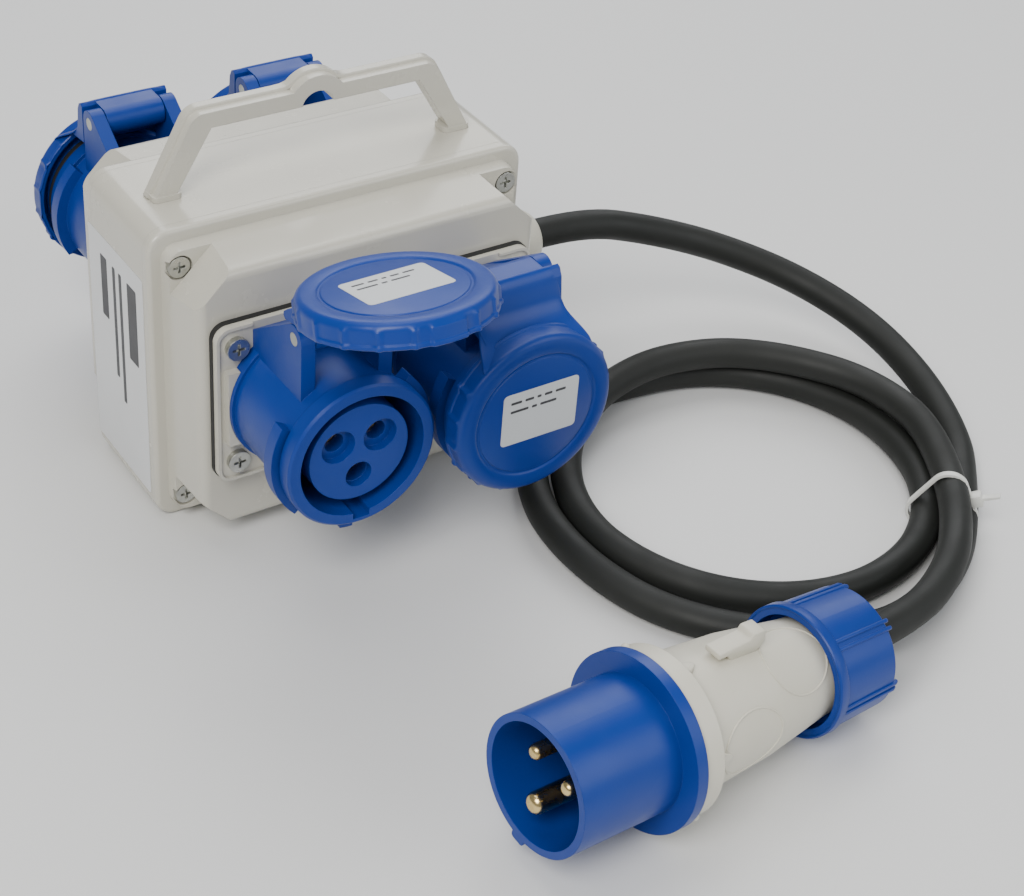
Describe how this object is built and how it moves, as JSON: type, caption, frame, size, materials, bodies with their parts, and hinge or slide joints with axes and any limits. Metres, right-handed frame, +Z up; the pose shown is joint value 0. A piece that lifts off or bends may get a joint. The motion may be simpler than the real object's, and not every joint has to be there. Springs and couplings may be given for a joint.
{
  "type": "portable power distribution box",
  "caption": "Hand-carried mains distribution box with lidded round pin sockets on both faces, a moulded handle and a coiled supply lead ending in a round pin plug.",
  "frame": {"origin": "middle of the case's underside, on the surface the box stands on", "axes": "+X along the case to the cable gland, -Y out of the front sockets, +Z up"},
  "size_m": [0.2944, 0.3465, 0.1469],
  "materials": {
    "case_plastic": "warm light grey moulded plastic, glossy with fine moulding texture",
    "blue_plastic": "deep blue moulded plastic, semi-gloss",
    "seal_rubber": "matte black rubber",
    "zinc_steel": "zinc-plated steel",
    "contact_brass": "turned brass",
    "gland_plastic": "warm off-white plastic, satin",
    "cable_rubber": "black rubber sheath, matte",
    "tie_nylon": "natural nylon",
    "dark_plastic": "black plastic, satin",
    "wire_brown": "brown insulation",
    "wire_blue": "light blue insulation",
    "wire_green_yellow": "green and yellow insulation"
  },
  "bodies": {
    "case": {"housing": "case_plastic", "front_cover": "case_plastic", "rear_cover": "case_plastic", "handle": "case_plastic", "front_left_flange": "case_plastic", "front_right_flange": "case_plastic", "rear_left_flange": "case_plastic", "rear_right_flange": "case_plastic", "front_cover_seal": "seal_rubber", "rear_cover_seal": "seal_rubber", "front_left_gasket": "seal_rubber", "front_right_gasket": "seal_rubber", "rear_left_gasket": "seal_rubber", "rear_right_gasket": "seal_rubber", "gland_seal": "seal_rubber", "plug_cable_seal": "seal_rubber", "cover_screws": "zinc_steel", "flange_screws": "zinc_steel", "handle_screws": "zinc_steel", "hinge_pins": "zinc_steel", "front_left_socket_body": "blue_plastic", "front_right_socket_body": "blue_plastic", "rear_left_socket_body": "blue_plastic", "rear_right_socket_body": "blue_plastic", "front_left_contact_insert": "blue_plastic", "front_right_contact_insert": "blue_plastic", "rear_left_contact_insert": "blue_plastic", "rear_right_contact_insert": "blue_plastic", "plug_collar": "blue_plastic", "plug_gland_nut": "blue_plastic", "contact_sleeves": "contact_brass", "plug_pins": "contact_brass", "terminal_clamps": "contact_brass", "gland_body": "gland_plastic", "gland_locknut": "gland_plastic", "gland_nut": "gland_plastic", "terminal_block": "gland_plastic", "plug_body": "gland_plastic", "plug_clip": "gland_plastic", "cable_entry": "cable_rubber", "cable_lead": "cable_rubber", "cable_coil": "cable_rubber", "cable_tail": "cable_rubber", "plug_cable_end": "cable_rubber", "cable_tie": "tie_nylon", "plug_insert": "dark_plastic", "wire_line": "wire_brown", "wire_neutral": "wire_blue", "wire_earth": "wire_green_yellow"},
    "front_left_cap": {"front_left_lid": "blue_plastic", "front_left_lid_seal": "seal_rubber"},
    "front_right_cap": {"front_right_lid": "blue_plastic", "front_right_lid_seal": "seal_rubber"},
    "rear_left_cap": {"rear_left_lid": "blue_plastic", "rear_left_lid_seal": "seal_rubber"},
    "rear_right_cap": {"rear_right_lid": "blue_plastic", "rear_right_lid_seal": "seal_rubber"}
  },
  "joints": [
    {"name": "front_left_lid_hinge", "type": "hinge", "parent": "case", "child": "front_left_cap", "pos_m": [-0.0303, -0.077, 0.0995], "axis": [-1, 0, 0], "range_deg": [-103, 7]},
    {"name": "front_right_lid_hinge", "type": "hinge", "parent": "case", "child": "front_right_cap", "pos_m": [0.0303, -0.077, 0.0995], "axis": [-1, 0, 0], "range_deg": [0, 110]},
    {"name": "rear_left_lid_hinge", "type": "hinge", "parent": "case", "child": "rear_left_cap", "pos_m": [-0.0303, 0.077, 0.0995], "axis": [1, 0, 0], "range_deg": [0, 110]},
    {"name": "rear_right_lid_hinge", "type": "hinge", "parent": "case", "child": "rear_right_cap", "pos_m": [0.0303, 0.077, 0.0995], "axis": [1, 0, 0], "range_deg": [0, 110]}
  ]
}
